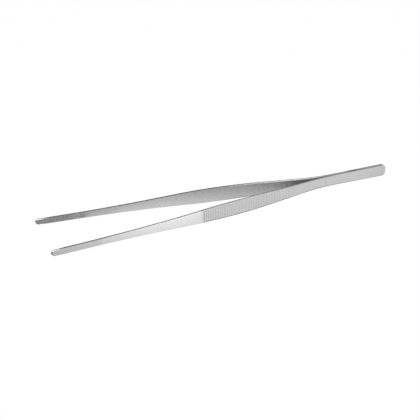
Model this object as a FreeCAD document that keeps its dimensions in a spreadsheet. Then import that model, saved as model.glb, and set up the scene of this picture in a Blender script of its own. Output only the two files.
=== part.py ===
import FreeCAD, Part
import math
import os
import Sketcher

# Long thumb forceps: two bent strip blades of stainless steel, joined face to face at the heel.
#
# Each blade is drawn in its own frame, in millimetres. X runs from the heel end to the tip, Y
# stands out of the face that is joined at the heel, and Z runs across the blade's width.
# Placement turns that frame so that the pair lies on its narrow edges: heel end at +X, tips at
# -X, left blade at -Y, right blade at +Y. The origin is under the middle of the whole length.

Vector = FreeCAD.Vector

SIZES = {
    # Lengths along the blade
    "overall_length": 300.0,
    "heel_flat": 46.7,  # joined length of the heel
    "crease_offset": 12.6,  # from the end of the joined heel to the start of the ground spring
    "grip_offset": 15.7,  # from the end of the first bend to the first flute
    "grip_length": 82.4,
    "tip_parallel": 21.0,  # parallel stretch at the tip, with its round end
    "serration_length": 38.0,
    "serration_land": 0.6,  # smooth end beyond the last serration
    # Bends of the blade, on its inner face
    "spring_radius": 185.0,
    "spread_angle": 10.6,  # degrees that the first bend opens the blade
    "bow_radius": 1150.0,
    "shank_angle": 4.4,  # degrees that are left of it after the grip bends back
    # Thickness
    "blade_thickness": 1.9,
    "tip_thickness": 1.6,
    "relief_depth": 0.1,  # metal ground off the spring, which leaves a faint crease
    # Widths and where they fall
    "heel_width": 9.6,
    "heel_corner": 3.2,
    "waist_width": 8.84,
    "waist_station": 61.0,
    "belly_width": 12.1,
    "belly_station": 144.0,
    "belly_radius": 765.0,
    "tip_width": 4.72,
    # Broken edges, all round each face
    "outer_edge_break": 0.32,
    "inner_edge_break": 0.12,
    # Flutes across the outer face of the grip
    "flute_pitch": 1.6,
    "flute_width": 1.1,
    "flute_depth": 0.32,
    # Serrations across the inner face of the tip
    "serration_pitch": 1.0,
    "serration_width": 0.85,
    "serration_depth": 0.3,
    # Stock around the finished form, cut away again
    "stock_margin": 2.0,
}

# Bend and bow centres, and the point where the straight shank starts, as sheet expressions
BOTH_RADII = "(Sizes.spring_radius + Sizes.bow_radius)"
BEND_X = "Sizes.heel_flat"
BEND_Y = "Sizes.spring_radius"
BOW_X = f"Sizes.heel_flat + {BOTH_RADII} * sin(Sizes.spread_angle)"
BOW_Y = f"Sizes.spring_radius - {BOTH_RADII} * cos(Sizes.spread_angle)"
BEND_END_X = "Sizes.heel_flat + Sizes.spring_radius * sin(Sizes.spread_angle)"
OUTER_BOW = "(Sizes.bow_radius + Sizes.blade_thickness)"
FLUTE_START = f"({BEND_END_X} + Sizes.grip_offset)"
FLUTE_ANGLE = f"asin(({BOW_X} - {FLUTE_START}) / {OUTER_BOW})"
SERRATION_X = "Sizes.overall_length - Sizes.serration_length"
SERRATION_Y = (
    f"{BOW_Y} + Sizes.bow_radius * cos(Sizes.shank_angle) + tan(Sizes.shank_angle)"
    f" * ({SERRATION_X} - ({BOW_X}) + Sizes.bow_radius * sin(Sizes.shank_angle))"
)


def make_sheet(doc):
    sheet = doc.addObject("Spreadsheet::Sheet", "Sizes")
    for row, (alias, value) in enumerate(SIZES.items(), start=1):
        sheet.set(f"A{row}", alias)
        sheet.set(f"B{row}", str(value))
        sheet.setAlias(f"B{row}", alias)
    doc.recompute()
    return sheet


class Outline:
    """A closed chain of lines and arcs in one sketch, with its dimensions bound to the sheet."""

    def __init__(self, sketch):
        self.sketch = sketch
        self.edges = []

    def value(self, expression):
        result = self.sketch.evalExpression(expression)
        return float(getattr(result, "Value", result))

    def line(self, start, end, smooth=False):
        geometry = Part.LineSegment(Vector(*start, 0), Vector(*end, 0))
        return self.chain(geometry, 1, 2, smooth)

    def arc(self, centre, radius, first, last, smooth=False):
        """An arc from the first to the last angle, in degrees, either way round."""
        low, high = sorted((math.radians(first), math.radians(last)))
        circle = Part.Circle(Vector(*centre, 0), Vector(0, 0, 1), radius)
        geometry = Part.ArcOfCircle(circle, low, high)
        start, end = (1, 2) if last > first else (2, 1)
        return self.chain(geometry, start, end, smooth)

    def chain(self, geometry, start, end, smooth):
        index = self.sketch.addGeometry(geometry, False)
        if self.edges:
            self.join(self.edges[-1], (index, start), smooth)
        self.edges.append((index, start, end))
        return index

    def join(self, before, after, smooth=False):
        kind = "Tangent" if smooth else "Coincident"
        self.rule(kind, before[0], before[2], after[0], after[1])

    def close(self):
        self.join(self.edges[-1], self.edges[0])

    def rule(self, kind, *where):
        return self.sketch.addConstraint(Sketcher.Constraint(kind, *where))

    def size(self, name, expression, kind, *where):
        value = self.value(expression)
        if kind == "Angle":
            value = math.radians(value)
        index = self.rule(kind, *where, value)
        self.sketch.renameConstraint(index, name)
        self.sketch.setExpression("Constraints." + name, expression)

    def place(self, name, geometry, point, x, y):
        """Both coordinates of a point, from the sketch's own origin."""
        self.size(name + "_x", x, "DistanceX", -1, 1, geometry, point)
        self.size(name + "_y", y, "DistanceY", -1, 1, geometry, point)


def new_sketch(body, role, name):
    plane = next(item for item in body.Origin.OriginFeatures if item.Role == role)
    sketch = body.newObject("Sketcher::SketchObject", name)
    sketch.AttachmentSupport = [(plane, "")]
    sketch.MapMode = "FlatFace"
    return sketch


def point_on(centre, radius, angle):
    turn = math.radians(angle)
    return (centre[0] + radius * math.cos(turn), centre[1] + radius * math.sin(turn))


def draw_side(sketch):
    """The blade seen on its edge: flat heel, bend outwards, long bow back, straight shank.

    Gives back the first and last geometry of the inner face, and of the outer face."""
    out = Outline(sketch)
    bend = (out.value(BEND_X), out.value(BEND_Y))
    bow = (out.value(BOW_X), out.value(BOW_Y))
    spring = out.value("Sizes.spring_radius")
    long_radius = out.value("Sizes.bow_radius")
    spread = out.value("Sizes.spread_angle")
    shank = out.value("Sizes.shank_angle")
    thick = out.value("Sizes.blade_thickness")
    tip_thick = out.value("Sizes.tip_thickness")
    stock_end = out.value("Sizes.overall_length + Sizes.stock_margin")

    inner_start = point_on(bow, long_radius, 90 + shank)
    run = (stock_end - inner_start[0]) / math.cos(math.radians(shank))
    inner_tip = point_on(inner_start, run, shank)
    outer_tip = point_on(inner_tip, tip_thick, 90 + shank)
    outer_start = point_on(bow, long_radius + thick, 90 + shank)

    heel = out.line((0, 0), (bend[0], 0))
    inner_bend = out.arc(bend, spring, -90, -90 + spread, smooth=True)
    inner_bow = out.arc(bow, long_radius, 90 + spread, 90 + shank, smooth=True)
    inner_shank = out.line(inner_start, inner_tip, smooth=True)
    tip = out.line(inner_tip, outer_tip)
    outer_shank = out.line(outer_tip, outer_start)
    outer_bow = out.arc(bow, long_radius + thick, 90 + shank, 90 + spread)
    outer_bend = out.arc(bend, spring - thick, -90 + spread, -90, smooth=True)
    outer_heel = out.line((bend[0], thick), (0, thick), smooth=True)
    end = out.line((0, thick), (0, 0))
    out.close()

    out.rule("Coincident", heel, 1, -1, 1)
    out.rule("Horizontal", heel)
    out.rule("Horizontal", outer_heel)
    out.rule("Vertical", end)
    out.rule("Coincident", inner_bend, 3, outer_bend, 3)
    out.rule("Coincident", inner_bow, 3, outer_bow, 3)
    out.rule("Perpendicular", inner_shank, tip)
    out.size("heel_flat", "Sizes.heel_flat", "DistanceX", heel, 1, heel, 2)
    out.size("spring_radius", "Sizes.spring_radius", "Radius", inner_bend)
    out.size("bow_radius", "Sizes.bow_radius", "Radius", inner_bow)
    out.size("spread_angle", "Sizes.spread_angle", "Angle", inner_bend)
    turn_back = "Sizes.spread_angle - Sizes.shank_angle"
    out.size("inner_turn_back", turn_back, "Angle", inner_bow)
    out.size("outer_turn_back", turn_back, "Angle", outer_bow)
    stock = "Sizes.overall_length + Sizes.stock_margin"
    out.size("stock_length", stock, "DistanceX", -1, 1, inner_shank, 2)
    out.size("blade_thickness", "Sizes.blade_thickness", "Distance", end)
    out.size("tip_thickness", "Sizes.tip_thickness", "Distance", tip)
    return (heel, inner_shank), (outer_shank, outer_heel)


def crest_radius(step, rise, radius):
    """The other radius of two arcs that meet smoothly, where their crests are a step apart
    along the blade and a rise apart across it."""
    return (step**2 + rise**2) / (2 * rise) - radius


def turn_between(step, radii):
    """How far such arcs have turned where they meet, in degrees."""
    return math.degrees(math.asin(step / radii))


def draw_edge(sketch):
    """All that lies outside the upper edge of the blade: round tip, parallel tip, waisted
    taper, broad grip, waist behind it and rounded heel corner."""
    out = Outline(sketch)
    length = out.value("Sizes.overall_length")
    margin = out.value("Sizes.stock_margin")
    tip = out.value("Sizes.tip_width / 2")
    belly = out.value("Sizes.belly_width / 2")
    waist = out.value("Sizes.waist_width / 2")
    heel = out.value("Sizes.heel_width / 2")
    corner = out.value("Sizes.heel_corner")
    neck_x = length - out.value("Sizes.tip_parallel")
    belly_x = out.value("Sizes.belly_station")
    belly_radius = out.value("Sizes.belly_radius")
    waist_x = out.value("Sizes.waist_station")
    top = belly + margin

    neck_radius = crest_radius(neck_x - belly_x, belly - tip, belly_radius)
    neck_turn = turn_between(neck_x - belly_x, neck_radius + belly_radius)
    waist_radius = crest_radius(belly_x - waist_x, belly - waist, belly_radius)
    waist_turn = turn_between(belly_x - waist_x, waist_radius + belly_radius)

    # The heel's side runs straight from its corner, with a slight lean, to touch the waist's arc
    corner_centre = (corner, heel - corner)
    waist_centre = (waist_x, waist + waist_radius)
    across = waist_centre[0] - corner_centre[0]
    up = waist_centre[1] - corner_centre[1]
    touch = math.asin((waist_radius + corner) / math.hypot(across, up))
    lean = math.degrees(math.atan2(up, across) - touch)
    side_end = point_on(corner_centre, corner, 90 + lean)
    side_start = point_on(waist_centre, waist_radius, -90 + lean)

    tip_round = out.arc((length - tip, 0), tip, 0, 90)
    tip_side = out.line((length - tip, tip), (neck_x, tip), smooth=True)
    out.arc((neck_x, tip + neck_radius), neck_radius, -90, -90 - neck_turn, smooth=True)
    grip = out.arc(
        (belly_x, belly - belly_radius), belly_radius, 90 - neck_turn, 90 + waist_turn, smooth=True
    )
    waist_arc = out.arc(waist_centre, waist_radius, -90 + waist_turn, -90 + lean, smooth=True)
    out.line(side_start, side_end, smooth=True)
    heel_round = out.arc(corner_centre, corner, 90 + lean, 180, smooth=True)
    low = out.line((0, corner_centre[1]), (-margin, corner_centre[1]))
    back = out.line((-margin, corner_centre[1]), (-margin, top))
    roof = out.line((-margin, top), (length + margin, top))
    front = out.line((length + margin, top), (length + margin, 0))
    floor = out.line((length + margin, 0), (length, 0))
    out.close()

    for level in (tip_side, low, roof, floor):
        out.rule("Horizontal", level)
    for upright in (back, front):
        out.rule("Vertical", upright)
    out.rule("PointOnObject", tip_round, 3, -1)
    out.rule("PointOnObject", floor, 2, -1)
    out.size("overall_length", "Sizes.overall_length", "DistanceX", -1, 1, floor, 2)
    out.size("tip_round", "Sizes.tip_width / 2", "Radius", tip_round)
    neck = "Sizes.overall_length - Sizes.tip_parallel"
    out.size("neck_station", neck, "DistanceX", -1, 1, tip_side, 2)
    out.size("belly_station", "Sizes.belly_station", "DistanceX", -1, 1, grip, 3)
    belly_centre = "Sizes.belly_radius - Sizes.belly_width / 2"
    out.size("belly_centre", belly_centre, "DistanceY", grip, 3, -1, 1)
    out.size("belly_radius", "Sizes.belly_radius", "Radius", grip)
    crest = sketch.addGeometry(Part.Point(Vector(waist_x, waist, 0)), True)
    out.place("waist", crest, 1, "Sizes.waist_station", "Sizes.waist_width / 2")
    out.rule("PointOnObject", crest, 1, waist_arc)
    out.rule("Vertical", crest, 1, waist_arc, 3)
    out.rule("PointOnObject", heel_round, 2, -2)
    out.rule("Horizontal", heel_round, 3, heel_round, 2)
    out.size("heel_corner", "Sizes.heel_corner", "Radius", heel_round)
    heel_low = "Sizes.heel_width / 2 - Sizes.heel_corner"
    out.size("heel_low", heel_low, "DistanceY", -1, 1, heel_round, 3)
    out.size("margin_back", "Sizes.stock_margin", "DistanceX", back, 2, -1, 1)
    roof_height = "Sizes.belly_width / 2 + Sizes.stock_margin"
    out.size("roof_height", roof_height, "DistanceY", -1, 1, roof, 1)
    out.size("margin_front", "Sizes.stock_margin", "DistanceX", floor, 2, floor, 1)


def draw_relief(sketch):
    """The skin ground off the outer face from the crease to the first flute."""
    out = Outline(sketch)
    bend = (out.value(BEND_X), out.value(BEND_Y))
    bow = (out.value(BOW_X), out.value(BOW_Y))
    spread = out.value("Sizes.spread_angle")
    ground = out.value("Sizes.blade_thickness - Sizes.relief_depth")
    bend_radius = out.value("Sizes.spring_radius") - ground
    bow_radius = out.value("Sizes.bow_radius") + ground
    crease_x = bend[0] + out.value("Sizes.crease_offset")
    flute_x = out.value(FLUTE_START)
    crease = math.degrees(math.asin((crease_x - bend[0]) / bend_radius))
    flute = math.degrees(math.asin((bow[0] - flute_x) / bow_radius))
    crease_low = point_on(bend, bend_radius, -90 + crease)
    flute_low = point_on(bow, bow_radius, 90 + flute)
    margin = out.value("Sizes.stock_margin")
    crease_high = (crease_x, crease_low[1] + margin)
    flute_high = (flute_x, flute_low[1] + margin)

    start = out.line(crease_high, crease_low)
    first = out.arc(bend, bend_radius, -90 + crease, -90 + spread)
    second = out.arc(bow, bow_radius, 90 + spread, 90 + flute, smooth=True)
    finish = out.line(flute_low, flute_high)
    out.line(flute_high, crease_high)
    out.close()

    out.rule("Vertical", start)
    out.rule("Vertical", finish)
    ground_bend = "Sizes.spring_radius - Sizes.blade_thickness + Sizes.relief_depth"
    out.size("ground_bend", ground_bend, "Radius", first)
    out.place("bend", first, 3, BEND_X, BEND_Y)
    out.size("bow_x", BOW_X, "DistanceX", -1, 1, second, 3)
    out.size("bow_y", f"-({BOW_Y})", "DistanceY", second, 3, -1, 1)
    crease_place = "Sizes.heel_flat + Sizes.crease_offset"
    out.size("crease_station", crease_place, "DistanceX", -1, 1, start, 2)
    out.size("flute_station", FLUTE_START, "DistanceX", -1, 1, finish, 1)
    out.size("start_height", "Sizes.stock_margin", "Distance", start)
    out.size("finish_height", "Sizes.stock_margin", "Distance", finish)


def draw_groove(sketch, name, surface):
    """A V groove that opens along the sketch's Y axis, cut from the named surface height."""
    out = Outline(sketch)
    depth = f"Sizes.{name}_depth"
    width = f"Sizes.{name}_width"
    apex_y = f"{surface} - {depth}"
    mouth_y = f"{surface} + {depth}"
    mouth = out.value(width)
    left = (-mouth, out.value(mouth_y))
    right = (mouth, out.value(mouth_y))
    apex = (0, out.value(apex_y))

    out.line(left, apex)
    flank = out.line(apex, right)
    lid = out.line(right, left)
    out.close()

    out.rule("PointOnObject", flank, 1, -2)
    out.rule("Symmetric", lid, 1, lid, 2, -2)
    out.size("mouth", f"2 * {width}", "DistanceX", lid, 2, lid, 1)
    out.size("mouth_height", f"2 * {depth}", "DistanceY", flank, 1, flank, 2)
    if out.value(apex_y) > 0:
        out.size("apex", apex_y, "DistanceY", -1, 1, flank, 1)
    else:
        out.size("apex", f"-({apex_y})", "DistanceY", flank, 1, -1, 1)


def cut(body, sketch, name):
    """Cuts a sketch's area out of the blade, right through and both ways."""
    pocket = body.newObject("PartDesign::Pocket", name)
    pocket.Profile = sketch
    pocket.SideType = "Symmetric"
    pocket.Type = "Length"
    span = "2 * (Sizes.belly_width + Sizes.overall_length)"
    pocket.setExpression("Length", span)
    return pocket


def rim_edges(shape, side, first, last):
    """Names of the edges that run round one face of the blade, which is drawn in the side
    sketch by the geometry from first to last. Edges straight across a face are left out."""
    face_line = Part.Wire([side.Geometry[index].toShape() for index in range(first, last + 1)])
    near = 0.001
    names = []
    for number, edge in enumerate(shape.Edges, start=1):
        span = edge.valueAt(edge.LastParameter) - edge.valueAt(edge.FirstParameter)
        middle = edge.valueAt((edge.FirstParameter + edge.LastParameter) / 2)
        on_face = face_line.distToShape(Part.Vertex(middle.x, middle.y, 0))[0] < near
        across_face = abs(span.x) < near and middle.x > near
        if on_face and not across_face:
            names.append(f"Edge{number}")
    return names


def break_edges(body, base, edges, size, name):
    chamfer = body.newObject("PartDesign::Chamfer", name)
    chamfer.Base = (base, edges)
    chamfer.setExpression("Size", f"Sizes.{size}")
    return chamfer


def make_blade(doc, sheet, label, turn_axis):
    body = doc.addObject("PartDesign::Body", label)
    body.Label = label

    side = new_sketch(body, "XY_Plane", label + "_side")
    inner_face, outer_face = draw_side(side)
    blank = body.newObject("PartDesign::Pad", label + "_blank")
    blank.Profile = side
    blank.SideType = "Symmetric"
    blank.setExpression("Length", "Sizes.belly_width + Sizes.stock_margin")

    edge = new_sketch(body, "XZ_Plane", label + "_edge")
    draw_edge(edge)
    upper = cut(body, edge, label + "_upper_edge")
    doc.recompute()
    both = body.newObject("PartDesign::Mirrored", label + "_both_edges")
    both.Originals = [upper]
    both.MirrorPlane = (
        next(item for item in body.Origin.OriginFeatures if item.Role == "XY_Plane"),
        [""],
    )
    body.Tip = both
    doc.recompute()

    outer_rim = rim_edges(both.Shape, side, *outer_face)
    broken = break_edges(body, both, outer_rim, "outer_edge_break", label + "_outer_rim")
    doc.recompute()
    inner_rim = rim_edges(broken.Shape, side, *inner_face)
    break_edges(body, broken, inner_rim, "inner_edge_break", label + "_inner_rim")
    doc.recompute()

    relief = new_sketch(body, "XY_Plane", label + "_relief")
    draw_relief(relief)
    cut(body, relief, label + "_ground_spring")
    doc.recompute()

    # The flute's sketch has its origin at the bow's centre, so its normal is the pattern's axis
    flute = new_sketch(body, "XY_Plane", label + "_flute")
    flute.setExpression("AttachmentOffset.Base.x", BOW_X)
    flute.setExpression("AttachmentOffset.Base.y", BOW_Y)
    flute.setExpression("AttachmentOffset.Rotation.Angle", FLUTE_ANGLE)
    draw_groove(flute, "flute", OUTER_BOW)
    first_flute = cut(body, flute, label + "_first_flute")
    doc.recompute()
    grip = body.newObject("PartDesign::PolarPattern", label + "_grip")
    grip.Originals = [first_flute]
    grip.Axis = (flute, ["N_Axis"])
    grip.Reversed = True
    grip.Mode = "Spacing"
    grip.setExpression("Offset", f"Sizes.flute_pitch / {OUTER_BOW} * 180 / pi")
    grip.setExpression("Occurrences", "floor(Sizes.grip_length / Sizes.flute_pitch) + 1")
    body.Tip = grip
    doc.recompute()

    # The serration's sketch stands on the inner face with its Y axis pointing out of the metal
    serration = new_sketch(body, "XY_Plane", label + "_serration")
    serration.setExpression("AttachmentOffset.Base.x", SERRATION_X)
    serration.setExpression("AttachmentOffset.Base.y", SERRATION_Y)
    serration.setExpression("AttachmentOffset.Rotation.Angle", "180 + Sizes.shank_angle")
    draw_groove(serration, "serration", "0")
    first_serration = cut(body, serration, label + "_first_serration")
    doc.recompute()
    jaw = body.newObject("PartDesign::LinearPattern", label + "_jaw")
    jaw.Originals = [first_serration]
    jaw.Direction = (serration, ["H_Axis"])
    jaw.Reversed = True
    jaw.Mode = "Spacing"
    jaw.setExpression("Offset", "Sizes.serration_pitch")
    serrated = "(Sizes.serration_length - Sizes.serration_land)"
    jaw.setExpression("Occurrences", f"floor({serrated} / Sizes.serration_pitch) + 1")
    body.Tip = jaw

    body.Placement = FreeCAD.Placement(Vector(0, 0, 0), FreeCAD.Rotation(turn_axis, 180))
    body.setExpression("Placement.Base.x", "Sizes.overall_length / 2")
    body.setExpression("Placement.Base.z", "Sizes.belly_width / 2")
    doc.recompute()
    return body


def check(doc, bodies):
    """Stops if a feature failed, a sketch is loose or a blade isn't one sound solid."""
    for item in doc.Objects:
        if "Invalid" in item.State or "Error" in item.State:
            raise RuntimeError(f"{item.Name} failed: {item.State}")
        if item.isDerivedFrom("Sketcher::SketchObject") and not item.FullyConstrained:
            raise RuntimeError(f"{item.Name} isn't fully constrained")
    for body in bodies:
        shape = body.Shape
        if shape.isNull() or not shape.isValid() or len(shape.Solids) != 1:
            raise RuntimeError(f"{body.Label} isn't one sound solid")


def main():
    doc = FreeCAD.newDocument("ThumbForceps")
    sheet = make_sheet(doc)
    # The left blade is turned about the upright axis and the right one about the cross axis,
    # which sets them as mirror images on either side of the joint
    left = make_blade(doc, sheet, "left_blade", Vector(0, 0, 1))
    right = make_blade(doc, sheet, "right_blade", Vector(0, 1, 0))
    bodies = [left, right]
    check(doc, bodies)
    os.makedirs("parts", exist_ok=True)
    for body in bodies:
        body.Shape.exportStep(os.path.join("parts", body.Label + ".step"))
        box = body.Shape.BoundBox
        print(body.Label, "volume", round(body.Shape.Volume, 1), "box", box)


main()
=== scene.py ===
import math

import bpy
import numpy as np
from mathutils import Matrix, Vector


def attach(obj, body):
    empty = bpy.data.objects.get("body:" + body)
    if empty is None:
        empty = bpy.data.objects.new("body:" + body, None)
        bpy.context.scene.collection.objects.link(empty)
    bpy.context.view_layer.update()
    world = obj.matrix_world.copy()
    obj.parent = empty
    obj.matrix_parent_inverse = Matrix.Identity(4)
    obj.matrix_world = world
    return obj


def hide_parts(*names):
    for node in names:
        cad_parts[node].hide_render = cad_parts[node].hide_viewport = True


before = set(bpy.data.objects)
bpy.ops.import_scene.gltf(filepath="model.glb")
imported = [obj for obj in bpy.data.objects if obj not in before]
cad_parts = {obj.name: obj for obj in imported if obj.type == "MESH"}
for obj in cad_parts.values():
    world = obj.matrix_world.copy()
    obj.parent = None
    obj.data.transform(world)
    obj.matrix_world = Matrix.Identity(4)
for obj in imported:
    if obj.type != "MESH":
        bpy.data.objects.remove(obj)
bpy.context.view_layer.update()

# Thumb forceps: both blades with finer rims, grooves and grain than the CAD, on a pale floor
MM = 0.001

# Driving sizes of one blade: x from the heel end, y out of the joined face, z across the width
LENGTH = 300.0 * MM
HEEL_FLAT = 46.7 * MM  # joined length of the heel
CREASE_OFFSET = 12.6 * MM  # from the end of the joined heel to the start of the ground spring
GRIP_OFFSET = 15.7 * MM  # from the end of the spring's bend to the first flute
GRIP_LENGTH = 82.4 * MM
TIP_PARALLEL = 21.0 * MM  # parallel stretch at the tip, with its round end
SERRATION_LENGTH = 38.0 * MM
SERRATION_LAND = 0.6 * MM  # smooth end beyond the last serration
SPRING_RADIUS = 185.0 * MM
SPREAD = math.radians(10.6)  # how far the spring's bend opens the blade
BOW_RADIUS = 1150.0 * MM
SHANK = math.radians(4.4)  # what is left of that after the grip bows back
THICKNESS = 1.9 * MM
TIP_THICKNESS = 1.6 * MM
RELIEF_DEPTH = 0.1 * MM  # metal ground off the spring, which leaves a faint crease
RELIEF_RAMP = 0.25 * MM
HEEL_HALF = 4.8 * MM
HEEL_CORNER = 3.2 * MM
WAIST_HALF = 4.42 * MM
WAIST_X = 61.0 * MM
BELLY_HALF = 6.05 * MM
BELLY_X = 144.0 * MM
BELLY_RADIUS = 765.0 * MM
TIP_HALF = 2.36 * MM
FLUTE_PITCH = 1.6 * MM
FLUTE_WIDTH = 1.1 * MM
FLUTE_DEPTH = 0.32 * MM
SERRATION_PITCH = 1.0 * MM
SERRATION_WIDTH = 0.85 * MM
SERRATION_DEPTH = 0.3 * MM
GROOVE_ROUNDING = 0.2  # share of a groove's half width that its crests and root are rounded by

# Roundings of the rims, as (millimetres from the heel end, radius in millimetres)
OUTER_ROUNDS = {
    "left_blade": [
        (0, 0.35), (45, 0.4), (58, 0.6), (72, 0.6), (88, 0.4), (178, 0.4), (184, 0.22),
        (240, 0.22), (262, 0.1), (289, 0.1), (296, 0.62),
    ],
    "right_blade": [
        (0, 0.3), (96, 0.42), (135, 0.4), (165, 0.12), (288, 0.12), (296, 0.35),
    ],
}
INNER_ROUNDS = [
    (0, 0.03), (27.5, 0.03), (28, 0.3), (36, 0.3), (37, 0.06), (52, 0.06), (68, 0.5),
    (110, 0.5), (135, 0.4), (150, 0.1), (289, 0.1), (296, 0.55),
]
# The dark line in the open joint is painted shade.
SEAM = (28.0 * MM, 36.5 * MM)  # where the joint lies open a little and shows as a dark line

# Mesh of a blade
PLAIN_STEP = 2.5 * MM
GROOVE_CLEARANCE = PLAIN_STEP / 4  # plain rows nearer than this to a groove's rows are left out
ROW_MARGIN = MM / 10  # kept before the first serration and before the tip's round end
ROW_DIGITS = 8  # rows that agree to this many decimal places of a metre are one
SEAM_FADE = MM / 3  # either side of the seam's ends
CORNER_ROWS = 9
TIP_ROWS = 24
SHARES = np.array([-1, -0.95, -0.5, 0, 0.5, 0.95, 1])  # columns of the mesh across a face
OUTER_TURNS = np.radians([0, 18, 36, 54, 72, 90])  # steps round the outer rounding
INNER_TURNS = np.radians([0, 30, 60, 90])  # and round the inner one
FLAT_START = 1.08  # the rim's flat begins at this many radii, which keeps its shading even
INNER_BAND = 0.12 * MM  # and this much further on, the tone of the inner rounding has ended

# Parts of a blade's section, by share of the thickness from the inner face
OUTER_FACE_ABOVE = 0.97
OUTER_LIP_ABOVE = 0.85
OUTER_HALF_ABOVE = 0.5
SEAM_BELOW = 0.2
INNER_LIP_BELOW = 0.1
INNER_FACE_BELOW = 0.03
LOWER_SIDE_BELOW = -0.6  # by share of the half width from the middle

# Tones, as (millimetres from the heel end, share of the steel's reflectance). Besides the steel's
# own tone they hold painted reflections, highlights and shade, and so change along each face and
# between the blades.
STEEL = 0.72
# The outer face: lighter along the shank and darker on the grip and the tip, partly painted
# reflection.
OUTER_TONES = [
    (0, 0.93), (20, 0.95), (21, 0.97), (90, 0.97), (97, 0.88), (130, 0.87), (155, 0.92),
    (178, 0.92), (180, 1.0), (190, 1.04), (228, 1.07), (252, 1.0), (260.5, 0.95),
    (264, 0.83), (280, 0.8), (296, 0.74),
]
# The outer rounding's tone is capped to dim its highlight, and raised at the tips for a painted
# highlight.
OUTER_LIP_HIGHLIGHT_LIMITS = [(0, 0.95), (180, 1.0), (286, 1.0), (291, 1.4)]  # its rounding, at most
# The inner face: painted shade darkens it towards the crotch, and painted reflections vary it
# along its length.
INNER_TONES = [
    (50, 1.0), (62, 1.0), (74, 0.6), (82, 0.42), (91, 0.51), (100, 0.65), (125, 0.74),
    (160, 0.82), (190, 0.85), (232, 0.81), (242, 0.71), (256, 0.67), (260, 0.55),
]
# The serrated part of the inner face, darkened partly by painted shade.
JAW_TONES = [(262, 0.5), (268, 0.58), (276, 0.47), (296, 0.48)]
# The edges between the faces, with painted reflections: dark along most of the right blade's top
# edge, lighter on the left one, and painted highlights at both tips.
EDGE_TONES_AND_REFLECTIONS = {
    "left_blade": [
        (0, 0.95), (27, 0.95), (37, 0.95), (52, 0.85), (75, 0.9), (90, 1.05), (130, 1.1),
        (155, 1.2), (178, 1.2), (184, 0.95), (238, 1.0), (262, 0.48), (291, 0.52), (295, 1.3),
    ],
    "right_blade": [
        (0, 0.95), (27, 0.95), (50, 1.1), (60, 1.2), (80, 1.1), (110, 0.9), (140, 0.72),
        (160, 0.27), (235, 0.27), (262, 0.41), (285, 0.42), (289, 1.0), (295, 1.3),
    ],
}
# Painted shade in the open seam.
SEAM_SHADE_TONE = 0.05

# Painted shade and dark reflections that darken those tones: factors, and shades, which are the
# share that is taken away
# Painted shade on the lower outer rim, next to the floor.
LOWER_RIM_SHADE_FACTORS = [(0, 0.2), (60, 0.2), (100, 0.12), (165, 0.12), (180, 0.5)]
# A painted dark reflection at the very end of each tip, above its lower third.
TIP_END_REFLECTION_FACTOR = 0.25
TIP_END = 1.0 * MM
TIP_END_LOWEST = -TIP_HALF / 3
# Painted shade along the lower edge of both faces.
LOWER_LINE_SHADES = [(0, 0.5), (60, 0.85), (175, 0.85), (182, 0.4)]  # beside the lower rim
# Painted shade at the top of the inner face.
INNER_UPPER_SHADES = [(75, 0.0), (100, 0.3), (165, 0.3), (200, 0.18)]  # fade down that face
# Painted shade at the bottom of the outer face.
OUTER_LOWER_SHADES = [(180, 0.04), (190, 0.1), (256, 0.1), (264, 0.04)]  # fade up that face
# Painted shade in the flutes, the serrations and the crease.
FLUTE_SHADES = [(96, 0.15), (118, 0.2), (145, 0.28), (178, 0.42)]
SERRATION_SHADE = 0.5
CREASE_SHADE = 0.5

# Roughness, as (millimetres from the heel end, roughness)
OUTER_ROUGH = 0.42
INNER_ROUGH = 0.36
EDGE_ROUGHS = [
    (0, 0.2), (55, 0.2), (100, 0.26), (178, 0.26), (184, 0.33), (245, 0.33), (286, 0.2),
]
LIP_ROUGHS = [(0, 0.36), (55, 0.36), (100, 0.5), (262, 0.5), (286, 0.32)]

# Grain, with noise scales in cycles a millimetre along and across the blade
FINE_SCALE, FINE_DETAIL = (0.12, 7.0), 3.0
BROAD_SCALE, BROAD_DETAIL = (0.08, 0.9), 2.0
BLOTCH_SCALE, BLOTCH_DETAIL = (0.5, 0.8), 3.0
NOISE_MIDDLE = 0.5  # that the noise varies around
STREAKS = 0.04  # how much the broad streaks vary the tone
INNER_BLOTCHES = [(55, 2.0), (85, 1.6), (115, 0.9), (140, 0.5)]  # and blotches, inside only
FINE_WEAR = 0.1  # how much the fine grain varies the roughness
BUMP_STRENGTH = 0.3
BUMP_DEPTH = 0.002 * MM
ANISOTROPY = 0.7
QUARTER_TURN = 0.25  # highlights spread across the grain

# Studio
FLOOR_REACH = 6.0
FLOOR_GREY = 0.9
FLOOR_ROUGH = 0.8
CAMERA_WHITE = 0.985  # share of plain white that the camera sees on the floor
MIRROR_WHITE = 0.8  # and that reflections see
HORIZON_GREY = 0.25
SKY_GREYS = [(0.5, 0.27), (0.78, 0.85), (0.92, 0.85), (0.98, 0.3), (1.0, 0.2)]  # by height
PANEL_TOWARD = Vector((-0.08, 0.93, 0.36)).normalized()  # a dark panel behind the object
PANEL_REACH = (20, 38)  # degrees round that direction where it is fully dark, and where it ends
PANEL_GREY = 0.2
LIGHTS = {  # place, aim, size and radiance
    "key": ((-0.55, -0.95, 0.85), (0, 0, 0), (1.5, 1.5), 2.5),
    "shank": ((0.091, -0.285, 0.09), (-0.05, -0.02, 0), (0.07, 0.16), 4.8),
}

# Camera, as fitted to the photograph's outlines
VIEW_AZIMUTH = math.radians(-22.32)
VIEW_ELEVATION = math.radians(25.9)
VIEW_ROLL = math.radians(-1.3)
VIEW_DISTANCE = 0.644
PHOTO_WIDTH = 420  # pixels
PIXELS_PER_METRE = 1237.5  # at the view's distance
AIM_RIGHT = -13.79 * MM  # from the middle of the object to the middle of the picture
AIM_UP = -7.65 * MM
SENSOR_WIDTH = 36.0  # millimetres, as the lens is
CLIP_START = 0.01
CLIP_END = 50

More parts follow.
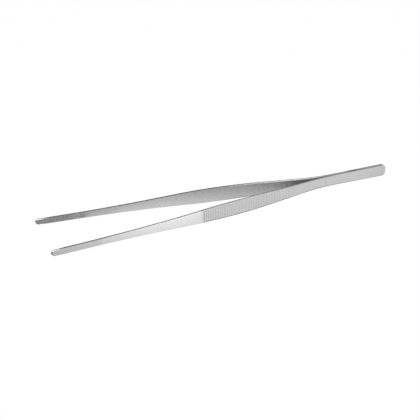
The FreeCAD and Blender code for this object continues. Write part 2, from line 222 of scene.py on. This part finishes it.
# Bend and bow of the inner face, and the outline's arcs, which meet smoothly
BEND_CENTRE = (HEEL_FLAT, SPRING_RADIUS)
BOW_CENTRE = (
    HEEL_FLAT + (SPRING_RADIUS + BOW_RADIUS) * math.sin(SPREAD),
    SPRING_RADIUS - (SPRING_RADIUS + BOW_RADIUS) * math.cos(SPREAD),
)
BEND_END_X = HEEL_FLAT + SPRING_RADIUS * math.sin(SPREAD)
SHANK_X = BOW_CENTRE[0] - BOW_RADIUS * math.sin(SHANK)
SHANK_Y = BOW_CENTRE[1] + BOW_RADIUS * math.cos(SHANK)
CREASE_X = HEEL_FLAT + CREASE_OFFSET
FIRST_FLUTE_X = BEND_END_X + GRIP_OFFSET
JAW_X = LENGTH - SERRATION_LENGTH  # middle of the first serration
JAW_EDGE_X = JAW_X - SERRATION_WIDTH / 2 - ROW_MARGIN  # where the serrated face starts
NECK_X = LENGTH - TIP_PARALLEL


def crest_radius(step, rise, radius):
    """The other radius of two arcs that meet smoothly between crests a step and a rise apart."""
    return (step**2 + rise**2) / (2 * rise) - radius


WAIST_RADIUS = crest_radius(BELLY_X - WAIST_X, BELLY_HALF - WAIST_HALF, BELLY_RADIUS)
NECK_RADIUS = crest_radius(NECK_X - BELLY_X, BELLY_HALF - TIP_HALF, BELLY_RADIUS)
WAIST_MEET_X = WAIST_X + (BELLY_X - WAIST_X) * WAIST_RADIUS / (WAIST_RADIUS + BELLY_RADIUS)
NECK_MEET_X = BELLY_X + (NECK_X - BELLY_X) * BELLY_RADIUS / (NECK_RADIUS + BELLY_RADIUS)


def heel_side():
    """Both ends of the heel's straight side, and its lean in radians."""
    across = WAIST_X - HEEL_CORNER
    up = WAIST_HALF + WAIST_RADIUS - (HEEL_HALF - HEEL_CORNER)
    touch = math.asin((WAIST_RADIUS + HEEL_CORNER) / math.hypot(across, up))
    lean = math.atan2(up, across) - touch
    start_x = HEEL_CORNER - HEEL_CORNER * math.sin(lean)
    start_z = HEEL_HALF - HEEL_CORNER + HEEL_CORNER * math.cos(lean)
    end_x = WAIST_X + WAIST_RADIUS * math.sin(lean)
    return start_x, start_z, end_x, lean


SIDE_START_X, SIDE_START_Z, SIDE_END_X, SIDE_LEAN = heel_side()


def half_width(x):
    """Half the blade's width between its heel corner and its round tip."""
    heel = SIDE_START_Z + (x - SIDE_START_X) * math.tan(SIDE_LEAN)
    waist = WAIST_HALF + WAIST_RADIUS - np.sqrt(WAIST_RADIUS**2 - (x - WAIST_X) ** 2)
    belly = BELLY_HALF - BELLY_RADIUS + np.sqrt(BELLY_RADIUS**2 - (x - BELLY_X) ** 2)
    neck = TIP_HALF + NECK_RADIUS - np.sqrt(NECK_RADIUS**2 - (x - NECK_X) ** 2)
    places = [x < SIDE_END_X, x < WAIST_MEET_X, x < NECK_MEET_X, x < NECK_X]
    return np.select(places, [heel, waist, belly, neck], TIP_HALF)


def inner_face(x):
    """Height of the inner face above the joint's plane, and how far it has turned."""
    bend_x = np.clip((x - BEND_CENTRE[0]) / SPRING_RADIUS, 0, 1)
    bend_y = BEND_CENTRE[1] - SPRING_RADIUS * np.sqrt(1 - bend_x**2)
    bow_x = np.clip((BOW_CENTRE[0] - x) / BOW_RADIUS, -1, 1)
    bow_y = BOW_CENTRE[1] + BOW_RADIUS * np.sqrt(1 - bow_x**2)
    shank_y = SHANK_Y + (x - SHANK_X) * math.tan(SHANK)
    places = [x < HEEL_FLAT, x < BEND_END_X, x < SHANK_X]
    height = np.select(places, [0 * x, bend_y, bow_y], shank_y)
    turn = np.select(places, [0 * x, np.arcsin(bend_x), np.arcsin(bow_x)], SHANK)
    return height, turn


def thickness(x):
    """The blade's thickness, with the skin ground off the spring and the taper to the tip."""
    taper = (THICKNESS - TIP_THICKNESS) * np.clip((x - SHANK_X) / (LENGTH - SHANK_X), 0, 1)
    ground = np.clip((x - CREASE_X) / RELIEF_RAMP, 0, 1)
    ground = ground * (x < FIRST_FLUTE_X)
    return THICKNESS - taper - RELIEF_DEPTH * ground


class Grooves:
    """A row of V grooves with slightly rounded crests and roots, by their centres along x."""

    def __init__(self, centres, width, depth):
        self.centres = np.sort(centres)
        self.half = width / 2
        self.soft = GROOVE_ROUNDING * self.half
        self.depth = depth

    def rows(self):
        """The stations that the mesh needs to carry the grooves."""
        half, soft = self.half, self.soft
        steps = np.array([-half - soft, -half + soft, -soft, 0, soft, half - soft, half + soft])
        return (self.centres[:, None] + steps).ravel()

    def cut(self, x):
        """How deep the grooves go at each station, with straight flanks between the roundings."""
        nearest = np.abs(x[:, None] - self.centres).min(1)
        flank = np.clip(1 - nearest / self.half, 0, 1)
        crest = np.clip((self.half + self.soft - nearest) / (2 * self.soft), 0, 1) ** 2
        root = np.clip(1 - nearest / self.soft, 0, 1) * self.soft / self.half / 4
        soft_crest = crest * self.soft / self.half / 2
        shape = np.where(nearest > self.half - self.soft, soft_crest, flank - root)
        return self.depth * shape


def grip_grooves():
    """The flutes of the grip, evenly spaced round the bow's outer face."""
    outer = BOW_RADIUS + THICKNESS
    first = math.asin((BOW_CENTRE[0] - FIRST_FLUTE_X) / outer)
    count = int(GRIP_LENGTH / FLUTE_PITCH) + 1
    turns = first - np.arange(count) * FLUTE_PITCH / outer
    return Grooves(BOW_CENTRE[0] - BOW_RADIUS * np.sin(turns), FLUTE_WIDTH, FLUTE_DEPTH)


def jaw_grooves():
    """The serrations of the tip, evenly spaced along the straight inner face."""
    count = int((SERRATION_LENGTH - SERRATION_LAND) / SERRATION_PITCH) + 1
    steps = np.arange(count) * SERRATION_PITCH * math.cos(SHANK)
    return Grooves(JAW_X + steps, SERRATION_WIDTH, SERRATION_DEPTH)


FLUTES = grip_grooves()
SERRATIONS = jaw_grooves()


def along(x, stops):
    """A value that runs straight between stops given in millimetres."""
    places, values = zip(*stops)
    return np.interp(x, np.array(places) * MM, values)


def side_rows():
    """Stations of the mesh along the side: even steps, and whatever the details need."""
    tip_x = LENGTH - TIP_HALF
    plain = np.arange(SIDE_START_X + PLAIN_STEP, tip_x, PLAIN_STEP)
    grooved = np.concatenate([FLUTES.rows(), SERRATIONS.rows()])
    covered = np.abs(plain[:, None] - grooved).min(1) < GROOVE_CLEARANCE
    crease = [CREASE_X + ramps * RELIEF_RAMP for ramps in (-1, 0, 1, 2)]
    seam = [end + fade for end in SEAM for fade in (-SEAM_FADE, SEAM_FADE)]
    marks = [*crease, *seam, JAW_X - SERRATION_WIDTH]
    x = np.concatenate([plain[~covered], grooved[grooved < tip_x - ROW_MARGIN], marks])
    return np.unique(x.round(ROW_DIGITS))


def outline():
    """Points and outward directions along the upper edge, from the heel's end to the tip."""
    turns = np.linspace(math.pi, math.pi / 2 + SIDE_LEAN, CORNER_ROWS)
    corner_out = np.stack([np.cos(turns), np.sin(turns)], 1)
    corner = HEEL_CORNER * corner_out + [HEEL_CORNER, HEEL_HALF - HEEL_CORNER]

    x = side_rows()
    half = half_width(x)
    slope = np.gradient(half, x)
    side = np.stack([x, half], 1)
    side_out = np.stack([-slope, np.ones_like(slope)], 1)
    side_out /= np.linalg.norm(side_out, axis=1)[:, None]

    turns = np.linspace(math.pi / 2, 0, TIP_ROWS)
    tip_out = np.stack([np.cos(turns), np.sin(turns)], 1)
    tip = tip_out * TIP_HALF + [LENGTH - TIP_HALF, 0]
    return np.concatenate([corner, side, tip]), np.concatenate([corner_out, side_out, tip_out])


def outline_ring():
    """Row, column, place and outward direction of the points all round the outline: across the
    heel's end, along the upper side to the tip, and back along the lower side."""
    points, outward = outline()
    apex = len(points) - 1
    last = len(SHARES) - 1
    ring = [(0, column) for column in range(last + 1)]
    ring += [(row, last) for row in range(1, apex)]
    ring += [(row, 0) for row in range(apex, 0, -1)]
    rows, columns = np.array(ring).T
    places = points[rows]
    places[:, 1] *= SHARES[columns]
    directions = outward[rows]
    directions[:, 1] *= np.sign(SHARES[columns])
    directions[rows == 0] = [-1, 0]
    return rows, columns, places, directions


def rim_profile(x, outer_rounds):
    """Inset from the outline and height of each step of the rim, from outer to inner face."""
    outer = along(x, outer_rounds)[:, None] * MM
    inner = along(x, INNER_ROUNDS)[:, None] * MM
    full = thickness(x)[:, None]
    inset = [
        outer * (1 - np.sin(OUTER_TURNS)),
        0 * outer,
        0 * inner,
        0 * inner,
        inner * (1 - np.cos(INNER_TURNS)),
    ]
    height = [
        full - outer * (1 - np.cos(OUTER_TURNS)),
        full - outer * FLAT_START,
        inner * FLAT_START + INNER_BAND,
        inner * FLAT_START,
        inner * (1 - np.sin(INNER_TURNS)),
    ]
    return np.concatenate(inset, 1), np.concatenate(height, 1)


def place(x, z, height, side):
    """Frame coordinates of points of a blade; side is -1 for the left one and 1 for the right.
    Heights are above the inner face, and the grooves cut into both faces."""
    height = np.minimum(height, thickness(x) - FLUTES.cut(x))
    height = np.maximum(height, SERRATIONS.cut(x))
    inner, turn = inner_face(x)
    run = x - height * np.sin(turn)
    out = inner + height * np.cos(turn)
    return np.stack([LENGTH / 2 - run, side * out, z + BELLY_HALF], 1)


def finish_and_painted_light(x, z, height, rim, edge_tones_and_reflections):
    """Tone, roughness and mottling of the steel, which is polished smoother on the edges between
    the faces. The tone holds painted shade in the grooves, the crease, the open seam and the
    crotch and along the lower rim and the faces' lower edges, and painted reflections and
    highlights along the faces, the edges and the tips, darker on the ground inner face and at the
    serrated tip. The points where rim is true belong to the rim, and the others lie on the faces
    within it."""
    share = height / thickness(x)
    across = z / half_width(x)
    outer = share > OUTER_FACE_ABOVE
    inner = share < INNER_FACE_BELOW
    edge = ~outer & ~inner
    outer_lip = edge & (share > OUTER_LIP_ABOVE)
    inner_lip = edge & (share < INNER_LIP_BELOW)
    jaw = inner & (x > JAW_EDGE_X)
    lower = across < LOWER_SIDE_BELOW
    lower_rim = lower & edge & (share > OUTER_HALF_ABOVE)
    tip_end = ~inner & (x > LENGTH - TIP_END) & (z > TIP_END_LOWEST)
    seam = (x > SEAM[0]) & (x < SEAM[1]) & (share < SEAM_BELOW)
    crease = np.clip(1 - np.abs(x - CREASE_X - RELIEF_RAMP / 2) / RELIEF_RAMP, 0, 1)

    # the tone tables, with their painted reflections, highlights and shade
    tones = [along(x, OUTER_TONES), along(x, JAW_TONES), along(x, INNER_TONES)]
    tone = np.select([outer, jaw, inner], tones, along(x, edge_tones_and_reflections))
    # capping the outer rounding's tone dims its highlight, and at the tips lets a painted
    # highlight through
    tone = np.where(outer_lip, np.minimum(tone, along(x, OUTER_LIP_HIGHLIGHT_LIMITS)), tone)
    # painted shade on the lower outer rim
    tone = tone * np.where(lower_rim, along(x, LOWER_RIM_SHADE_FACTORS), 1.0)
    # a painted dark reflection at the ends of the tips
    tone = tone * np.where(tip_end, TIP_END_REFLECTION_FACTOR, 1.0)
    # painted shade along the lower edges, down the inner face, up the outer face, and in the
    # grooves and the crease
    shades = [
        along(x, LOWER_LINE_SHADES) * (rim & ~edge & lower),
        along(x, INNER_UPPER_SHADES) * (inner & ~jaw) * (1 + across) / 2,
        along(x, OUTER_LOWER_SHADES) * outer * (1 - across) / 2,
        along(x, FLUTE_SHADES) * outer * FLUTES.cut(x) / FLUTE_DEPTH,
        SERRATION_SHADE * inner * SERRATIONS.cut(x) / SERRATION_DEPTH,
        CREASE_SHADE * outer * crease,
    ]
    for shade in shades:
        tone = tone * (1 - shade)
    # painted shade fills the open seam
    tone = np.where(seam, SEAM_SHADE_TONE, tone)

    rough = np.select([outer, inner], [OUTER_ROUGH, INNER_ROUGH], along(x, EDGE_ROUGHS))
    rough = np.where(outer_lip | inner_lip, along(x, LIP_ROUGHS), rough)
    return {"tone": tone, "rough": rough, "mottle": along(x, INNER_BLOTCHES) * inner}


def rim_faces(places, steps):
    """Faces of the rim, and how far round and up it each of their corners lies."""
    walk = np.linalg.norm(np.diff(places, axis=0, append=places[:1]), axis=1)
    walked = np.concatenate([[0], np.cumsum(walk)])
    climbed = np.arange(steps) * THICKNESS / steps
    faces, grains = [], []
    for position in range(len(places)):
        near = position * steps
        far = (position + 1) % len(places) * steps
        begin, end = walked[position], walked[position + 1]
        for step in range(steps - 1):
            low, high = climbed[step], climbed[step + 1]
            faces.append([near + step, far + step, far + step + 1, near + step + 1])
            grains.append([(begin, low), (end, low), (end, high), (begin, high)])
    return faces, grains


def ruled_faces(rows, columns, ring_numbers, first_inside):
    """Faces between the two sides of the ring. Its points have the numbers given, those inside
    it are numbered from first_inside, and its last row is one point, the apex of the tip."""
    apex, last = rows.max(), columns.max()
    numbers = np.zeros((apex + 1, last + 1), int)
    numbers[rows, columns] = ring_numbers
    numbers[apex] = numbers[apex, 0]
    inside = numbers[1:apex, 1:last]
    inside[:] = first_inside + np.arange(inside.size).reshape(inside.shape)
    faces = []
    for near, far in zip(numbers[:-1].tolist(), numbers[1:].tolist()):
        for column in range(last):
            face = [near[column], near[column + 1], far[column + 1]]
            if far[column] != far[column + 1]:
                face.append(far[column])
            faces.append(face)
    return faces


def inside_points(ends, heights):
    """Points of a face between its two sides, row by row. The rows' ends on the upper side and
    their heights are given, and the lower side mirrors them."""
    shares = SHARES[1:-1]
    x = np.repeat(ends[:, 0], len(shares))
    z = np.outer(ends[:, 1], shares).ravel()
    return x, z, np.repeat(heights, len(shares))


def blade_mesh(name, side, outer_rounds, edge_tones_and_reflections):
    """One blade as a closed mesh: two ruled faces, and a rim that runs round their outline."""
    rows, columns, places, directions = outline_ring()
    inset, height = rim_profile(places[:, 0], outer_rounds)
    spots = places[:, None, :] - inset[:, :, None] * directions[:, None, :]
    count, steps = height.shape
    upper = (columns == columns.max()) & (rows > 0)
    rim_points = spots[..., 0].ravel(), spots[..., 1].ravel(), height.ravel()
    outer_points = inside_points(spots[upper, 0], height[upper, 0])
    inner_points = inside_points(spots[upper, -1], height[upper, -1])
    x, z, heights = np.concatenate([rim_points, outer_points, inner_points], axis=1)

    first_outer = count * steps
    first_inner = first_outer + len(outer_points[0])
    ring_numbers = np.arange(count) * steps
    outer_faces = ruled_faces(rows, columns, ring_numbers, first_outer)
    inner_faces = ruled_faces(rows, columns, ring_numbers + steps - 1, first_inner)
    ruled = [face[::-1] for face in outer_faces] + inner_faces
    faces, grains = rim_faces(places, steps)
    faces += ruled
    grains += [[(x[number], z[number]) for number in face] for face in ruled]
    if side < 0:
        faces = [face[::-1] for face in faces]
        grains = [corners[::-1] for corners in grains]

    mesh = bpy.data.meshes.new(name)
    mesh.from_pydata(place(x, z, heights, side).tolist(), [], faces)
    layer = mesh.uv_layers.new(name="grain")
    corners = np.concatenate(grains) / MM
    layer.data.foreach_set("uv", corners.ravel().astype(np.float32))
    rim = np.arange(len(x)) < first_outer
    for key, values in finish_and_painted_light(x, z, heights, rim, edge_tones_and_reflections).items():
        attribute = mesh.attributes.new(key, "FLOAT", "POINT")
        attribute.data.foreach_set("value", values.astype(np.float32))
    mesh.shade_smooth()
    mesh.update()
    return mesh


def math_node(tree, operation, first, second):
    """The result of a calculation on two inputs, each a number or another node's output."""
    node = tree.nodes.new("ShaderNodeMath")
    node.operation = operation
    for socket, value in zip(node.inputs, (first, second)):
        if isinstance(value, float):
            socket.default_value = value
        else:
            tree.links.new(value, socket)
    return node.outputs[0]


def attribute_node(tree, name):
    """A value that the mesh holds for each point."""
    node = tree.nodes.new("ShaderNodeAttribute")
    node.attribute_name = name
    return node.outputs["Fac"]


def noise_node(tree, name, scale, detail):
    """Noise between 0 and 1 that is stretched along the grain."""
    uv = tree.nodes.new("ShaderNodeUVMap")
    uv.uv_map = "grain"
    stretch = tree.nodes.new("ShaderNodeMapping")
    stretch.inputs["Scale"].default_value = (*scale, 1)
    noise = tree.nodes.new("ShaderNodeTexNoise")
    noise.label = name
    noise.inputs["Scale"].default_value = 1.0
    noise.inputs["Detail"].default_value = detail
    tree.links.new(uv.outputs[0], stretch.inputs["Vector"])
    tree.links.new(stretch.outputs[0], noise.inputs["Vector"])
    return noise.outputs["Fac"]


def satin_steel():
    """Ground stainless steel with a fine grain along the blade."""
    material = bpy.data.materials.new("satin_steel")
    material.use_nodes = True
    tree = material.node_tree
    shader = tree.nodes["Principled BSDF"]
    shader.inputs["Metallic"].default_value = 1.0
    shader.inputs["Anisotropic"].default_value = ANISOTROPY
    shader.inputs["Anisotropic Rotation"].default_value = QUARTER_TURN
    tangent = tree.nodes.new("ShaderNodeTangent")
    tangent.direction_type = "UV_MAP"
    tangent.uv_map = "grain"
    tree.links.new(tangent.outputs["Tangent"], shader.inputs["Tangent"])

    fine = noise_node(tree, "fine grain", FINE_SCALE, FINE_DETAIL)
    broad = noise_node(tree, "broad streaks", BROAD_SCALE, BROAD_DETAIL)
    blotches = noise_node(tree, "mottling", BLOTCH_SCALE, BLOTCH_DETAIL)
    lift = math_node(tree, "SUBTRACT", broad, NOISE_MIDDLE)
    lift = math_node(tree, "MULTIPLY", lift, STREAKS)
    mottle = math_node(tree, "SUBTRACT", blotches, NOISE_MIDDLE)
    mottle = math_node(tree, "MULTIPLY", mottle, attribute_node(tree, "mottle"))
    varied = math_node(tree, "ADD", math_node(tree, "ADD", lift, mottle), 1.0)
    # The tone attribute holds painted shade, reflections and highlights besides the steel's own
    # tone.
    tone = math_node(tree, "MULTIPLY", attribute_node(tree, "tone"), varied)
    reflectance = math_node(tree, "MULTIPLY", tone, STEEL)
    tree.links.new(reflectance, shader.inputs["Base Color"])

    wear = math_node(tree, "SUBTRACT", fine, NOISE_MIDDLE)
    wear = math_node(tree, "MULTIPLY", wear, FINE_WEAR)
    rough = math_node(tree, "ADD", attribute_node(tree, "rough"), wear)
    tree.links.new(rough, shader.inputs["Roughness"])
    bump = tree.nodes.new("ShaderNodeBump")
    bump.inputs["Strength"].default_value = BUMP_STRENGTH
    bump.inputs["Distance"].default_value = BUMP_DEPTH
    tree.links.new(fine, bump.inputs["Height"])
    tree.links.new(bump.outputs[0], shader.inputs["Normal"])
    return material


def grey(value):
    """An opaque grey as a colour."""
    return value, value, value, 1


def pale_floor():
    """A pale matt finish. The camera and reflections see it nearly white, and so the shadow on
    it is faint."""
    material = bpy.data.materials.new("pale_floor")
    material.use_nodes = True
    tree = material.node_tree
    shader = tree.nodes["Principled BSDF"]
    shader.inputs["Base Color"].default_value = grey(FLOOR_GREY)
    shader.inputs["Roughness"].default_value = FLOOR_ROUGH
    shader.inputs["Specular IOR Level"].default_value = 0.0
    glow = tree.nodes.new("ShaderNodeEmission")
    glow.inputs["Color"].default_value = grey(1)
    glow.inputs["Strength"].default_value = 1.0
    rays = tree.nodes.new("ShaderNodeLightPath")
    seen = math_node(tree, "MULTIPLY", rays.outputs["Is Camera Ray"], CAMERA_WHITE)
    mirrored = math_node(tree, "MULTIPLY", rays.outputs["Is Glossy Ray"], MIRROR_WHITE)
    mix = tree.nodes.new("ShaderNodeMixShader")
    tree.links.new(math_node(tree, "MAXIMUM", seen, mirrored), mix.inputs[0])
    tree.links.new(shader.outputs[0], mix.inputs[1])
    tree.links.new(glow.outputs[0], mix.inputs[2])
    tree.links.new(mix.outputs[0], tree.nodes["Material Output"].inputs["Surface"])
    return material


def make_floor():
    """A plain pale floor under the object."""
    mesh = bpy.data.meshes.new("floor")
    reach = FLOOR_REACH
    corners = [(-reach, -reach, 0), (reach, -reach, 0), (reach, reach, 0), (-reach, reach, 0)]
    mesh.from_pydata(corners, [], [(0, 1, 2, 3)])
    mesh.materials.append(pale_floor())
    floor = bpy.data.objects.new("floor", mesh)
    bpy.context.scene.collection.objects.link(floor)


def make_world():
    """A studio dome: grey near the horizon, a bright ring above it, a grey top, and a dark panel
    behind the object."""
    world = bpy.data.worlds.new("studio")
    bpy.context.scene.world = world
    world.use_nodes = True
    nodes, links = world.node_tree.nodes, world.node_tree.links
    direction = nodes.new("ShaderNodeTexCoord")
    split = nodes.new("ShaderNodeSeparateXYZ")
    links.new(direction.outputs["Generated"], split.inputs[0])
    ramp = nodes.new("ShaderNodeValToRGB")
    stops = ramp.color_ramp.elements
    stops[0].color = grey(HORIZON_GREY)
    stops.remove(stops[1])
    for height, value in SKY_GREYS:
        stops.new(height).color = grey(value)
    links.new(split.outputs["Z"], ramp.inputs[0])
    toward = nodes.new("ShaderNodeVectorMath")
    toward.operation = "DOT_PRODUCT"
    links.new(direction.outputs["Generated"], toward.inputs[0])
    toward.inputs[1].default_value = PANEL_TOWARD
    panel = nodes.new("ShaderNodeMapRange")
    panel.interpolation_type = "SMOOTHSTEP"
    panel.inputs["From Min"].default_value = math.cos(math.radians(PANEL_REACH[1]))
    panel.inputs["From Max"].default_value = math.cos(math.radians(PANEL_REACH[0]))
    panel.inputs["To Min"].default_value = 1.0
    panel.inputs["To Max"].default_value = PANEL_GREY
    links.new(toward.outputs["Value"], panel.inputs["Value"])
    dimmed = nodes.new("ShaderNodeVectorMath")
    dimmed.operation = "SCALE"
    links.new(ramp.outputs["Color"], dimmed.inputs[0])
    links.new(panel.outputs[0], dimmed.inputs["Scale"])
    links.new(dimmed.outputs[0], nodes["Background"].inputs["Color"])
    nodes["Background"].inputs["Strength"].default_value = 1.0


def area_light(name, place_at, aim, size, radiance):
    """A rectangular light, whose power follows from its radiance and its size."""
    data = bpy.data.lights.new(name, "AREA")
    data.shape = "RECTANGLE"
    data.size, data.size_y = size
    data.energy = radiance * math.pi * size[0] * size[1]
    light = bpy.data.objects.new(name, data)
    light.location = Vector(place_at)
    light.rotation_mode = "QUATERNION"
    light.rotation_quaternion = (Vector(aim) - Vector(place_at)).to_track_quat("-Z", "Y")
    bpy.context.scene.collection.objects.link(light)


def make_camera():
    """The photograph's view: from the tips' side and above, turned slightly about its axis."""
    look = Vector((
        -math.sin(VIEW_AZIMUTH) * math.cos(VIEW_ELEVATION),
        math.cos(VIEW_AZIMUTH) * math.cos(VIEW_ELEVATION),
        -math.sin(VIEW_ELEVATION),
    ))
    right = Vector((math.cos(VIEW_AZIMUTH), math.sin(VIEW_AZIMUTH), 0))
    up = right.cross(look)
    turned_right = math.cos(VIEW_ROLL) * right + math.sin(VIEW_ROLL) * up
    turned_up = math.cos(VIEW_ROLL) * up - math.sin(VIEW_ROLL) * right
    data = bpy.data.cameras.new("camera")
    data.sensor_width = SENSOR_WIDTH
    data.lens = SENSOR_WIDTH * PIXELS_PER_METRE * VIEW_DISTANCE / PHOTO_WIDTH
    data.clip_start = CLIP_START
    data.clip_end = CLIP_END
    camera = bpy.data.objects.new("camera", data)
    axes = Matrix((turned_right, turned_up, -look)).transposed()
    aim = turned_right * AIM_RIGHT + turned_up * AIM_UP + Vector((0, 0, BELLY_HALF))
    camera.matrix_world = Matrix.Translation(aim - look * VIEW_DISTANCE) @ axes.to_4x4()
    bpy.context.scene.collection.objects.link(camera)
    bpy.context.scene.camera = camera


make_camera()
make_floor()
make_world()
for light_name, settings in LIGHTS.items():
    area_light(light_name, *settings)

steel = satin_steel()
for node, side in (("left_blade", -1), ("right_blade", 1)):
    mesh = blade_mesh(node + "_finish", side, OUTER_ROUNDS[node], EDGE_TONES_AND_REFLECTIONS[node])
    blade = bpy.data.objects.new(node + "_finish", mesh)
    blade.data.materials.append(steel)
    bpy.context.scene.collection.objects.link(blade)
    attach(blade, "root")
    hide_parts(node)

bpy.context.scene.view_settings.view_transform = "Standard"
